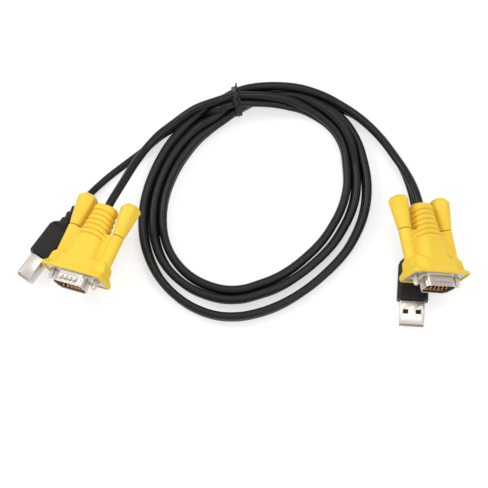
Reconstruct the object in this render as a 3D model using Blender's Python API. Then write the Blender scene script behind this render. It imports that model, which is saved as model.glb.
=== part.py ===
# A coiled keyboard, video and mouse cable: two cords that run together, with a 15 pin video plug
# at each end, a USB type B plug on the left and a USB type A plug on the right.
# Metres, +Z up. The cable lies on z = 0. A plug's own frame has its nose along -Y, its width
# along X and its broad face up, and starts at the middle of the front of its moulding.

import math

import bmesh
import bpy
from mathutils import Matrix, Vector

# Clearances
seat_gap = 0.0003        # between pieces that touch on the real cable
cord_gap = 0.0003        # between a cord's end and what it meets
cut_past = 0.001         # how far a cutter goes past what it cuts

# Video plug: moulded hood
flange_width = 0.0344
flange_height = 0.0152
flange_thick = 0.0034
flange_corner = 0.0027
flange_edge = 0.0004     # how far the front edge is drawn in
flange_lip = 0.0019      # the lip's thickness, before it slopes back to the shoulder
flange_step = 0.0012     # from the flange to the shoulder
shoulder_width = 0.0312
shoulder_height = 0.0132
shoulder_length = 0.0098
shoulder_slope = 0.0022
shoulder_round = 0.0012
shoulder_tail = 0.0016
screw_spacing = 0.02499
sleeve_radius = 0.00315
sleeve_length = 0.0243
sleeve_edge = 0.0003
web_height = 0.0046      # the web that joins each sleeve to the body
web_length = 0.0236
body_front_width = 0.0178
body_front_height = 0.0132
boot_start = 0.0200
boot_end = 0.0375
boot_width = 0.0144
boot_end_width = 0.0116
boot_end_height = 0.0098
boot_edge = 0.0012
body_corner = 0.0042
rib_count = 6
rib_pitch = 0.0026
rib_depth = 0.0004
rib_bow = 0.0012
rib_mouth = 0.20         # half a groove's width at its mouth and floor, as shares of the pitch
rib_floor = 0.08

# Video plug: thumbscrews
screw_radius = 0.00142
screw_tip = 0.0042       # how far the screw stands out in front of the flange
screw_point = 0.0006
screw_in_knob = 0.0090
knob_length = 0.0167
knob_end_radius = 0.0053
knob_chamfer = 0.0022
knob_crown = (0.40, 0.45)    # where the chamfer bends, as shares of its length and depth
knob_sides = 6
knob_softness = 1.03
knob_end_facets = 0.8
knob_slot_width = 0.0012
knob_slot_depth = 0.0012

# How each knob happens to be turned
knob_turns = {
    "left_video_left": math.radians(0), "left_video_right": math.radians(15),
    "right_video_left": math.radians(-15), "right_video_right": math.radians(0),
}

# Video plug: connector
plate_ear = 0.0029       # from a screw's axis to the plate's end
plate_width = screw_spacing + 2 * plate_ear
plate_height = 0.0125
plate_thick = 0.0008
plate_recess = 0.0004    # the plate's front lies this far inside the hood's rim
plate_corner = 0.0016
shroud_width = 0.0169    # inside, at the wide side
shroud_height = 0.0083
shroud_length = 0.0062
shroud_wall = 0.0004
shroud_corner = 0.0026
shroud_slant = math.radians(10)
shroud_foot = 0.0008
dimple_count = 4
dimple_pitch = 0.0026
dimple_radius = 0.0011
dimple_depth = 0.0002
dimple_place = 0.58      # share of the shroud's length in front of the plate
insulator_front = 0.0008
pin_radius = 0.00038
pin_length = 0.0055
pin_point = 0.35         # share of the pin's radius at its tip
pin_pitch = 0.00229
pin_row_pitch = 0.00198
pin_seat = 0.0009
pins_in_row = 5

# Both USB plugs
grip_corner = 0.0022
grip_edge = 0.0004
grip_neck = 0.005
grip_neck_steps = ((0.40, 0.0014), (0.75, 0.0042))    # share of the neck, how much narrower
relief_lip = 0.0008
relief_groove = 0.0006
relief_rib = 0.15
carrier_recess = 0.0006
carrier_corner = 0.0002

# USB type A plug
usb_a_width = 0.0120
usb_a_height = 0.0045
usb_a_length = 0.0120
usb_a_wall = 0.0003
usb_a_corner = 0.0006
usb_a_window_width = 0.0025
usb_a_window_length = 0.0020
usb_a_window_spacing = 0.0060
usb_a_window_back = 0.0062
usb_a_tongue_height = 0.0018
usb_a_contacts = 4
usb_a_contact_pitch = 0.0022
usb_a_contact_slot = (0.0011, 0.0060, 0.0006)
usb_a_contact_back = 0.0047
usb_a_grip_width = 0.0150
usb_a_grip_height = 0.0080
usb_a_grip_length = 0.0170
usb_a_relief_length = 0.0110
usb_a_relief_radius = 0.0032
usb_a_relief_ribs = 3

# USB type B plug
usb_b_width = 0.00845
usb_b_height = 0.00778
usb_b_length = 0.0120
usb_b_wall = 0.0004
usb_b_bevel = 0.0016
usb_b_core_width = 0.0056
usb_b_core_height = 0.0032
usb_b_back_wall = 0.0012
usb_b_mouth = (0.0036, 0.0012)
usb_b_mouth_depth = 0.0080
usb_b_grip_width = 0.0115
usb_b_grip_height = 0.0106
usb_b_grip_length = 0.0160
usb_b_relief_length = 0.0160
usb_b_relief_radius = 0.0034
usb_b_relief_ribs = 3

# Cords and coil
video_cord = 0.0041
usb_cord = 0.0035
coil_height = 0.0077
coil_corner = 0.0034
tie_bundle_height = 0.0118
tie_lift = 0.0016
tie_angle = math.radians(100.5)
tie_reach = math.radians(24)
tie_gap = 0.0004
tie_thick = 0.0012
tie_width = 0.0032
tie_twist_length = 0.0085
tie_twist_start = 0.35   # share of the bundle's width, from its inner side
tie_twist_size = (0.0022, 0.0012)
tie_twist_turns = 1.5
tie_twist_bow = 0.0007


def clear_scene():
    for thing in list(bpy.data.objects):
        bpy.data.objects.remove(thing, do_unlink=True)


def material(name, color, roughness, metallic=0.0):
    made = bpy.data.materials.new(name)
    made.use_nodes = True
    shader = made.node_tree.nodes["Principled BSDF"]
    shader.inputs["Base Color"].default_value = (*color, 1.0)
    shader.inputs["Roughness"].default_value = roughness
    shader.inputs["Metallic"].default_value = metallic
    return made


def empty(name, parent=None):
    made = bpy.data.objects.new(name, None)
    bpy.context.collection.objects.link(made)
    made.parent = parent
    return made


def solid(name, bm, finish, parent, smooth_angle=35):
    bmesh.ops.recalc_face_normals(bm, faces=bm.faces)
    mesh = bpy.data.meshes.new(name)
    bm.to_mesh(mesh)
    bm.free()
    mesh.shade_smooth()
    mesh.set_sharp_from_angle(angle=math.radians(smooth_angle))
    made = bpy.data.objects.new(name, mesh)
    bpy.context.collection.objects.link(made)
    made.parent = parent
    if finish:
        mesh.materials.append(finish)
    return made


def helper(name, bm, parent):
    # A cutter or an added form, which only shows through the Boolean that uses it.
    made = solid(name, bm, None, parent)
    made.hide_render = True
    made.display_type = "WIRE"
    return made


def combine(target, other, operation):
    step = target.modifiers.new(other.name, "BOOLEAN")
    step.operation = operation
    step.solver = "EXACT"
    step.object = other


def arc(center, radius, start, stop, steps):
    return [
        Vector((center[0] + radius * math.cos(a), center[1] + radius * math.sin(a)))
        for a in (start + (stop - start) * i / steps for i in range(steps + 1))
    ]


def rounded_outline(width, height, corner, steps=4):
    # A rectangle with round corners, as points in the XZ plane, anticlockwise seen from the front.
    corner = min(corner, 0.499 * width, 0.499 * height)
    x, z = width / 2 - corner, height / 2 - corner
    points = []
    for quarter, (cx, cz) in enumerate([(x, z), (-x, z), (-x, -z), (x, -z)]):
        start = quarter * math.pi / 2
        points += arc((cx, cz), corner, start, start + math.pi / 2, steps)
    return points


def shroud_outline(grow, steps=4):
    # The D outline: wide side up, sides slanting in by shroud_slant, grown outwards by grow.
    half = shroud_width / 2
    radius = shroud_corner + grow
    top, low = shroud_height / 2 - shroud_corner, -shroud_height / 2 + shroud_corner
    x_top = half - shroud_corner
    x_low = x_top - (top - low) * math.tan(shroud_slant)
    turn = math.pi / 2
    points = arc((x_top, top), radius, -shroud_slant, turn, steps)
    points += arc((-x_top, top), radius, turn, math.pi + shroud_slant, steps)
    points += arc((-x_low, low), radius, math.pi + shroud_slant, 3 * turn, steps)
    points += arc((x_low, low), radius, 3 * turn, 4 * turn - shroud_slant, steps)
    return points


def loft(bm, rings):
    # Rings of as many points each, joined in turn, with both ends closed.
    rows = [[bm.verts.new(point) for point in ring] for ring in rings]
    for near, far in zip(rows, rows[1:]):
        for i, corner in enumerate(near):
            j = (i + 1) % len(near)
            bm.faces.new((corner, near[j], far[j], far[i]))
    bm.faces.new(rows[0])
    bm.faces.new(reversed(rows[-1]))
    return bm


def along_y(outline, y, center=(0.0, 0.0)):
    return [Vector((p.x + center[0], y, p.y + center[1])) for p in outline]


def prism(bm, outline, y_front, y_back, center=(0.0, 0.0)):
    return loft(bm, [along_y(outline, y_front, center), along_y(outline, y_back, center)])


def turned(bm, profile, center=(0.0, 0.0), sides=16, turn=0.0):
    # A round piece about an axis along Y: profile is a list of (y, radius).
    rings = []
    for y, radius in profile:
        rings.append([
            Vector((
                center[0] + radius * math.cos(turn + 2 * math.pi * i / sides),
                y,
                center[1] + radius * math.sin(turn + 2 * math.pi * i / sides),
            ))
            for i in range(sides)
        ])
    return loft(bm, rings)


def smooth_step(share):
    share = min(1.0, max(0.0, share))
    return share * share * (3 - 2 * share)


# Video plug

bore_radius = screw_radius + seat_gap
pocket_depth = plate_recess + plate_thick + seat_gap


def body_size(y):
    # Width and height of the hood's middle at y, from the shoulder to the boot's end.
    to_boot = smooth_step(y / boot_start)
    to_end = min(1.0, max(0.0, (y - boot_start) / (boot_end - boot_start)))
    width = body_front_width + (boot_width - body_front_width) * to_boot
    width += (boot_end_width - boot_width) * to_end
    height = body_front_height + (boot_end_height - body_front_height) * smooth_step(y / boot_end)
    return width, height


def body_ring(y, inset=0.0, bow=0.0):
    width, height = body_size(y)
    outline = rounded_outline(width - 2 * inset, height - 2 * inset, body_corner)
    half = width / 2
    return [Vector((p.x, y - bow * (p.x / half) ** 2, p.y)) for p in outline]


def hood_body():
    # The middle of the hood, with the boot's grooves bowed towards the cord.
    rings = [body_ring(y) for y in (shoulder_length / 2, shoulder_length, boot_start - rib_bow)]
    first = boot_end - rib_pitch * (rib_count + 0.3)
    for rib in range(rib_count):
        groove = first + rib * rib_pitch
        for offset, inset in ((-rib_mouth, 0.0), (-rib_floor, rib_depth),
                              (rib_floor, rib_depth), (rib_mouth, 0.0)):
            rings.append(body_ring(groove + offset * rib_pitch, inset, rib_bow))
    rings.append(body_ring(boot_end - boot_edge, 0.0, rib_bow / 2))
    rings.append(body_ring(boot_end - 0.25 * boot_edge, 0.4 * boot_edge))
    rings.append(body_ring(boot_end, boot_edge))
    return loft(bmesh.new(), rings)


def hood_flange():
    # The flange with its rim, and the shoulder that leads back to the sleeves and the body.
    drawn_in = 2 * flange_edge
    low_width, low_height = shoulder_width - shoulder_round, 2 * sleeve_radius + shoulder_round
    return loft(bmesh.new(), [
        along_y(rounded_outline(flange_width - drawn_in, flange_height - drawn_in, flange_corner), 0.0),
        along_y(rounded_outline(flange_width, flange_height, flange_corner), flange_edge),
        along_y(rounded_outline(flange_width, flange_height, flange_corner), flange_lip),
        along_y(rounded_outline(shoulder_width + flange_step, shoulder_height + flange_step / 2,
                                flange_corner), flange_thick),
        along_y(rounded_outline(shoulder_width, shoulder_height - flange_edge, flange_corner),
                shoulder_length - shoulder_slope),
        along_y(rounded_outline(low_width, low_height, 3 * shoulder_round), shoulder_length),
        along_y(rounded_outline(screw_spacing, sleeve_radius, shoulder_round),
                shoulder_length + shoulder_tail),
    ])


def video_hood(name, parent, finish):
    hood = solid(name, hood_body(), finish, parent)
    combine(hood, helper(name + "_flange_form", hood_flange(), parent), "UNION")
    web = prism(bmesh.new(), rounded_outline(screw_spacing, web_height, shoulder_round),
                shoulder_length / 2, web_length)
    combine(hood, helper(name + "_web_form", web, parent), "UNION")
    for side, label in ((-1, "left"), (1, "right")):
        x = side * screw_spacing / 2
        sleeve = turned(bmesh.new(), [
            (flange_thick / 2, sleeve_radius),
            (sleeve_length - sleeve_edge, sleeve_radius),
            (sleeve_length, sleeve_radius - sleeve_edge),
        ], (x, 0.0))
        combine(hood, helper(f"{name}_{label}_sleeve_form", sleeve, parent), "UNION")
        bore = turned(bmesh.new(), [(-cut_past, bore_radius), (sleeve_length + cut_past, bore_radius)],
                      (x, 0.0), 12)
        combine(hood, helper(f"{name}_{label}_bore_cutter", bore, parent), "DIFFERENCE")
    pocket = prism(
        bmesh.new(),
        rounded_outline(plate_width + 2 * seat_gap, plate_height + 2 * seat_gap,
                        plate_corner + seat_gap),
        -cut_past, pocket_depth)
    combine(hood, helper(name + "_pocket_cutter", pocket, parent), "DIFFERENCE")


def facet_reach(angle):
    # How far a six-sided knob's face is from its axis, 1 at a corner that is softened a little.
    half = math.pi / knob_sides
    in_facet = (angle + half) % (2 * half) - half
    return min(1.0, math.cos(half) * knob_softness / math.cos(in_facet))


def knob(name, side, turn, parent, finish):
    # A grip that flares from the seam to a six-sided, chamfered and slotted end.
    x = side * screw_spacing / 2
    start = sleeve_length + seat_gap
    stop = start + knob_length
    widest = stop - knob_chamfer
    flare_by = knob_end_radius - sleeve_radius
    profile = [(start, sleeve_radius - sleeve_edge, 0.0), (start + sleeve_edge, sleeve_radius, 0.0)]
    for share in (0.25, 0.5, 0.75, 1.0):
        profile.append((start + share * (widest - start), sleeve_radius + flare_by * share, share))
    profile.append((stop - knob_crown[0] * knob_chamfer,
                    knob_end_radius - knob_crown[1] * knob_chamfer, 1.0))
    profile.append((stop, knob_end_radius - knob_chamfer, knob_end_facets))
    rings = []
    for y, radius, facets in profile:
        ring = []
        for i in range(4 * knob_sides):
            angle = 2 * math.pi * i / (4 * knob_sides)
            reach = radius * (1 + (facet_reach(angle - turn) - 1) * facets)
            ring.append(Vector((x + reach * math.cos(angle), y, reach * math.sin(angle))))
        rings.append(ring)
    made = solid(name, loft(bmesh.new(), rings), finish, parent, 28)
    bore = turned(bmesh.new(), [(start - cut_past, bore_radius),
                                (start + screw_in_knob, bore_radius)], (x, 0.0), 12)
    combine(made, helper(name + "_bore_cutter", bore, parent), "DIFFERENCE")
    slot = prism(bmesh.new(), rounded_outline(3 * knob_end_radius, knob_slot_width, 0.0, 1),
                 stop - knob_slot_depth, stop + cut_past, (x, 0.0))
    combine(made, helper(name + "_slot_cutter", slot, parent), "DIFFERENCE")


def screw(name, side, parent, finish):
    x = side * screw_spacing / 2
    back = sleeve_length + screw_in_knob
    solid(name, turned(bmesh.new(), [
        (-screw_tip, screw_radius - screw_point),
        (-screw_tip + screw_point, screw_radius),
        (back, screw_radius),
    ], (x, 0.0), 12), finish, parent)


def connector_shell(name, parent, finish):
    # Pressed steel: a flange plate with the D-shaped shroud standing on it.
    front = plate_recess - shroud_length
    back = plate_recess + plate_thick
    shell = solid(name, prism(bmesh.new(), rounded_outline(plate_width, plate_height, plate_corner, 3),
                              plate_recess, back), finish, parent)
    outer = loft(bmesh.new(), [
        along_y(shroud_outline(shroud_wall), front),
        along_y(shroud_outline(shroud_wall), plate_recess - shroud_foot),
        along_y(shroud_outline(shroud_wall + shroud_foot), plate_recess + plate_thick / 2),
    ])
    combine(shell, helper(name + "_shroud_form", outer, parent), "UNION")
    inner = prism(bmesh.new(), shroud_outline(0.0), front - cut_past, back + cut_past)
    combine(shell, helper(name + "_shroud_cutter", inner, parent), "DIFFERENCE")
    for side, label in ((-1, "left"), (1, "right")):
        hole = turned(bmesh.new(), [(plate_recess - cut_past, bore_radius), (back + cut_past, bore_radius)],
                      (side * screw_spacing / 2, 0.0), 12)
        combine(shell, helper(f"{name}_{label}_hole_cutter", hole, parent), "DIFFERENCE")
    dimples = bmesh.new()
    for face in (-1, 1):
        z = face * (shroud_height / 2 + shroud_wall + dimple_radius - dimple_depth)
        for i in range(dimple_count):
            x = (i - (dimple_count - 1) / 2) * dimple_pitch
            place = Matrix.Translation((x, plate_recess - dimple_place * shroud_length, z))
            bmesh.ops.create_icosphere(dimples, subdivisions=2, radius=dimple_radius, matrix=place)
    combine(shell, helper(name + "_dimple_cutter", dimples, parent), "DIFFERENCE")


def pin_places():
    # Three rows of five, the middle row half a pitch aside.
    for row in (-1, 0, 1):
        for i in range(pins_in_row):
            aside = pin_pitch / 2 if row == 0 else 0.0
            yield (i - (pins_in_row - 1) / 2) * pin_pitch + aside - pin_pitch / 4, row * pin_row_pitch


def insulator(name, parent, finish):
    back = plate_recess + plate_thick
    front = plate_recess - insulator_front
    core = solid(name, prism(bmesh.new(), shroud_outline(-seat_gap), front, back), finish, parent)
    seats = bmesh.new()
    for place in pin_places():
        turned(seats, [(front - cut_past, pin_radius + seat_gap), (front + pin_seat, pin_radius + seat_gap)],
               place, 8)
    combine(core, helper(name + "_seat_cutter", seats, parent), "DIFFERENCE")


def pin(name, place, parent, finish):
    back = plate_recess - insulator_front + pin_seat - seat_gap
    solid(name, turned(bmesh.new(), [
        (back - pin_length, pin_radius * pin_point),
        (back - pin_length + pin_radius, pin_radius),
        (back, pin_radius),
    ], place, 8), finish, parent)


def video_plug(label, parent, finishes):
    video_hood(f"{label}_hood", parent, finishes["yellow"])
    for side, where in ((-1, "left"), (1, "right")):
        knob(f"{label}_{where}_knob", side, knob_turns[f"{label}_{where}"], parent, finishes["yellow"])
        screw(f"{label}_{where}_screw", side, parent, finishes["steel"])
    connector_shell(f"{label}_connector_shell", parent, finishes["steel"])
    insulator(f"{label}_insulator", parent, finishes["black"])
    for number, place in enumerate(pin_places(), 1):
        pin(f"{label}_pin_{number:02d}", place, parent, finishes["gold"])


# USB plugs

def relief_profile(start, length, radius, cord, ribs):
    # A tapering strain relief with grooves between its ribs, as (y, radius).
    profile = []
    end = cord / 2 + relief_lip
    for i in range(2 * ribs):
        y = start + length * (i + 0.5) / (2 * ribs)
        size = radius + (end - radius) * (i + 0.5) / (2 * ribs)
        groove = relief_groove if i % 2 else 0.0
        half = relief_rib * length / ribs
        profile += [(y - half, size - groove), (y + half, size - groove)]
    profile.append((start + length, end))
    return profile


def grip(name, width, height, length, relief_length, relief_radius, cord, ribs, parent, finish):
    # The moulded handle of a USB plug, with rounded shoulders and a round strain relief.
    steps = [(0.0, 2 * grip_edge), (grip_edge, 0.0), (length, 0.0)]
    steps += [(length + share * grip_neck, less) for share, less in grip_neck_steps]
    rings = [along_y(rounded_outline(width - less, height - less, grip_corner), y) for y, less in steps]
    handle = solid(name, loft(bmesh.new(), rings), finish, parent)
    profile = relief_profile(length + grip_neck, relief_length - grip_neck, relief_radius, cord, ribs)
    relief = turned(bmesh.new(), [(length, relief_radius)] + profile, sides=16, turn=0.1)
    combine(handle, helper(name + "_relief_form", relief, parent), "UNION")


def usb_a_plug(label, parent, finishes):
    grip(f"{label}_grip", usb_a_grip_width, usb_a_grip_height, usb_a_grip_length,
         usb_a_relief_length, usb_a_relief_radius, usb_cord, usb_a_relief_ribs,
         parent, finishes["black"])
    front, back = -usb_a_length, -seat_gap
    shell = solid(f"{label}_shell", prism(
        bmesh.new(), rounded_outline(usb_a_width, usb_a_height, usb_a_corner, 3), front, back),
        finishes["steel"], parent)
    inner = prism(bmesh.new(), rounded_outline(
        usb_a_width - 2 * usb_a_wall, usb_a_height - 2 * usb_a_wall, usb_a_corner - usb_a_wall, 3),
        front - cut_past, back + cut_past)
    combine(shell, helper(f"{label}_shell_cutter", inner, parent), "DIFFERENCE")
    windows = bmesh.new()
    for side in (-1, 1):
        middle = Vector((side * usb_a_window_spacing / 2, front + usb_a_window_back, 0.0))
        size = Matrix.Diagonal((usb_a_window_width, usb_a_window_length, 2 * usb_a_height, 1.0))
        bmesh.ops.create_cube(windows, size=1.0, matrix=Matrix.Translation(middle) @ size)
    combine(shell, helper(f"{label}_window_cutter", windows, parent), "DIFFERENCE")
    inside = usb_a_width - 2 * usb_a_wall - 2 * seat_gap
    top = usb_a_height / 2 - usb_a_wall - seat_gap
    center_z = top - usb_a_tongue_height / 2
    tongue = solid(f"{label}_tongue", prism(
        bmesh.new(), rounded_outline(inside, usb_a_tongue_height, carrier_corner, 2),
        front + carrier_recess, back, (0.0, center_z)), finishes["white"], parent)
    slots = bmesh.new()
    for i in range(usb_a_contacts):
        place = Vector(((i - (usb_a_contacts - 1) / 2) * usb_a_contact_pitch,
                        front + usb_a_contact_back, center_z - usb_a_tongue_height / 2))
        size = Matrix.Diagonal((*usb_a_contact_slot, 1.0))
        bmesh.ops.create_cube(slots, size=1.0, matrix=Matrix.Translation(place) @ size)
    combine(tongue, helper(f"{label}_tongue_cutter", slots, parent), "DIFFERENCE")


def bevelled_outline(width, height, bevel):
    # The type B shape: square below, with its two upper corners cut off.
    x, z = width / 2, height / 2
    return [Vector(p) for p in ((x, -z), (x, z - bevel), (x - bevel, z), (bevel - x, z),
                                (-x, z - bevel), (-x, -z))]


def usb_b_plug(label, parent, finishes):
    grip(f"{label}_grip", usb_b_grip_width, usb_b_grip_height, usb_b_grip_length,
         usb_b_relief_length, usb_b_relief_radius, usb_cord, usb_b_relief_ribs,
         parent, finishes["black"])
    front, back = -usb_b_length, -seat_gap
    shell = solid(f"{label}_shell", prism(
        bmesh.new(), bevelled_outline(usb_b_width, usb_b_height, usb_b_bevel), front, back),
        finishes["steel"], parent)
    inner = prism(bmesh.new(), bevelled_outline(
        usb_b_width - 2 * usb_b_wall, usb_b_height - 2 * usb_b_wall, usb_b_bevel - 0.5 * usb_b_wall),
        front - cut_past, back - usb_b_back_wall)
    combine(shell, helper(f"{label}_shell_cutter", inner, parent), "DIFFERENCE")
    core = solid(f"{label}_core", prism(
        bmesh.new(), rounded_outline(usb_b_core_width, usb_b_core_height, carrier_corner, 2),
        front + carrier_recess, back - usb_b_back_wall - seat_gap), finishes["white"], parent)
    mouth = prism(bmesh.new(), rounded_outline(*usb_b_mouth, carrier_corner, 2),
                  front - cut_past, front + usb_b_mouth_depth)
    combine(core, helper(f"{label}_core_cutter", mouth, parent), "DIFFERENCE")


# Cords

def smooth_route(points, spacing):
    # A smooth curve through the chosen points, read at even distances along it.
    fine = []
    ends = [2 * points[0] - points[1]] + points + [2 * points[-1] - points[-2]]
    for a, b, c, d in zip(ends, ends[1:], ends[2:], ends[3:]):
        for i in range(16):
            t = i / 16
            fine.append(0.5 * ((2 * b) + (c - a) * t + (2 * a - 5 * b + 4 * c - d) * t * t
                               + (3 * b - a - 3 * c + d) * t * t * t))
    fine.append(points[-1].copy())
    lengths = [0.0]
    for p, q in zip(fine, fine[1:]):
        lengths.append(lengths[-1] + (q - p).length)
    count = max(2, round(lengths[-1] / spacing))
    read, at = [], 0
    for i in range(count + 1):
        wanted = lengths[-1] * i / count
        while at < len(fine) - 2 and lengths[at + 1] < wanted:
            at += 1
        share = (wanted - lengths[at]) / max(lengths[at + 1] - lengths[at], 1e-9)
        read.append(fine[at].lerp(fine[at + 1], min(1.0, share)))
    return read


def tube(name, points, diameter, finish, parent):
    curve = bpy.data.curves.new(name, "CURVE")
    curve.dimensions = "3D"
    curve.bevel_depth = diameter / 2
    curve.bevel_resolution = 2
    curve.use_fill_caps = True
    read = [points[0]] + smooth_route(points[1:], 2.0 * diameter)
    spline = curve.splines.new("POLY")
    spline.points.add(len(read) - 1)
    for target, point in zip(spline.points, read):
        target.co = (*point, 1.0)
    made = bpy.data.objects.new(name, curve)
    bpy.context.collection.objects.link(made)
    made.parent = parent
    curve.materials.append(finish)


coil_center = Vector((0.0004, -0.0012, 0.0))

# The coil's outline: angle in degrees from +X, inner and outer radius in metres.
coil_outline = [
    (0, 0.0400, 0.0554), (20, 0.0452, 0.0580), (38, 0.0500, 0.0600), (50, 0.0504, 0.0600),
    (58, 0.0502, 0.0624), (75, 0.0486, 0.0612), (100, 0.0452, 0.0576), (117, 0.0420, 0.0562),
    (129, 0.0402, 0.0520), (145, 0.0394, 0.0522), (170, 0.0404, 0.0540), (190, 0.0428, 0.0572),
    (215, 0.0458, 0.0615), (235, 0.0458, 0.0628), (258, 0.0418, 0.0608), (290, 0.0356, 0.0534),
    (315, 0.0342, 0.0512), (340, 0.0364, 0.0528),
]


def coil_radii(angle):
    degrees = math.degrees(angle) % 360
    loop = coil_outline + [(360, *coil_outline[0][1:])]
    for near, far in zip(loop, loop[1:]):
        if degrees <= far[0]:
            share = smooth_step((degrees - near[0]) / (far[0] - near[0]))
            return tuple(a + (b - a) * share for a, b in zip(near[1:], far[1:]))
    return loop[-1][1:]


def coil_levels(angle):
    # The bundle is drawn together and lifted where the tie goes round it.
    away = abs((angle - tie_angle + math.pi) % (2 * math.pi) - math.pi)
    near_tie = 1 - smooth_step(away / tie_reach)
    bottom = tie_lift * near_tie
    top = coil_height + (tie_bundle_height - coil_height) * near_tie
    return bottom, top


def coil_section(angle, grow=0.0, steps=3):
    inner, outer = coil_radii(angle)
    bottom, top = coil_levels(angle)
    outline = rounded_outline(outer - inner + 2 * grow, top - bottom + 2 * grow,
                              coil_corner + grow, steps)
    radius, height = (inner + outer) / 2, (bottom + top) / 2
    out = Vector((math.cos(angle), math.sin(angle), 0.0))
    return [coil_center + out * (radius + p.x) + Vector((0.0, 0.0, height + p.y)) for p in outline]


def coil(name, finish, parent):
    bm = bmesh.new()
    stations = 72
    rows = [[bm.verts.new(p) for p in coil_section(2 * math.pi * i / stations)]
            for i in range(stations)]
    for near, far in zip(rows, rows[1:] + rows[:1]):
        for i, corner in enumerate(near):
            j = (i + 1) % len(near)
            bm.faces.new((corner, near[j], far[j], far[i]))
    solid(name, bm, finish, parent)


def twist_tie(name, finish, parent):
    # A flat strip once round the bundle, its two ends twisted together on top.
    out = Vector((math.cos(tie_angle), math.sin(tie_angle), 0.0))
    across = Vector((-math.sin(tie_angle), math.cos(tie_angle), 0.0))
    bm = bmesh.new()
    rows = []
    inside = coil_section(tie_angle, tie_gap, 5)
    outside = coil_section(tie_angle, tie_thick, 5)
    for near, far in zip(inside, outside):
        rows.append([bm.verts.new(p + across * side * tie_width / 2)
                     for p, side in ((near, -1), (near, 1), (far, 0.8), (far, -0.8))])
    for near, far in zip(rows, rows[1:] + rows[:1]):
        for i in range(4):
            j = (i + 1) % 4
            bm.faces.new((near[i], near[j], far[j], far[i]))
    strip = solid(name, bm, finish, parent)
    inner, outer = coil_radii(tie_angle)
    top = coil_levels(tie_angle)[1]
    start = coil_center + out * (inner + tie_twist_start * (outer - inner))
    start.z = top + tie_thick
    rings, ring_count = [], 13
    for i in range(ring_count):
        share = i / (ring_count - 1)
        middle = start + out * share * tie_twist_length
        middle.z += tie_twist_bow * math.sin(math.pi * share)
        turn = share * tie_twist_turns * 2 * math.pi
        flat = across * math.cos(turn) + Vector((0.0, 0.0, 1.0)) * math.sin(turn)
        up = across * -math.sin(turn) + Vector((0.0, 0.0, 1.0)) * math.cos(turn)
        rings.append([middle + flat * tie_twist_size[0] * a + up * tie_twist_size[1] * b
                      for a, b in ((0.5, 0.5), (-0.5, 0.5), (-0.5, -0.5), (0.5, -0.5))])
    combine(strip, helper(name + "_twist_form", loft(bmesh.new(), rings), parent), "UNION")


def set_down(group, pieces):
    # Lowers or lifts a plug until its lowest point is on the surface.
    bpy.context.view_layer.update()
    reading = bpy.context.evaluated_depsgraph_get()
    lowest = min((piece.matrix_world @ v.co).z
                 for piece in (p.evaluated_get(reading) for p in pieces)
                 for v in piece.data.vertices)
    group.location.z -= lowest
    bpy.context.view_layer.update()


def own_pieces(group):
    return [o for o in bpy.data.objects if o.parent == group and o.type == "MESH" and not o.hide_render]


def footprint_center(pieces):
    reading = bpy.context.evaluated_depsgraph_get()
    points = [piece.matrix_world @ v.co
              for piece in (p.evaluated_get(reading) for p in pieces)
              for v in piece.data.vertices]
    return Vector([(min(p[k] for p in points) + max(p[k] for p in points)) / 2 for k in (0, 1)] + [0.0])


def turn_of(heading, roll, pitch):
    # heading turns the nose about Z, pitch lifts it, and roll leans the plug on its side.
    return (Matrix.Rotation(math.radians(heading), 4, "Z")
            @ Matrix.Rotation(math.radians(-pitch), 4, "X")
            @ Matrix.Rotation(math.radians(roll), 4, "Y"))


def place(group, xy, heading, roll=0.0, pitch=0.0, height=0.0):
    group.matrix_basis = Matrix.Translation((*xy, height)) @ turn_of(heading, roll, pitch)
    bpy.context.view_layer.update()


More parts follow.
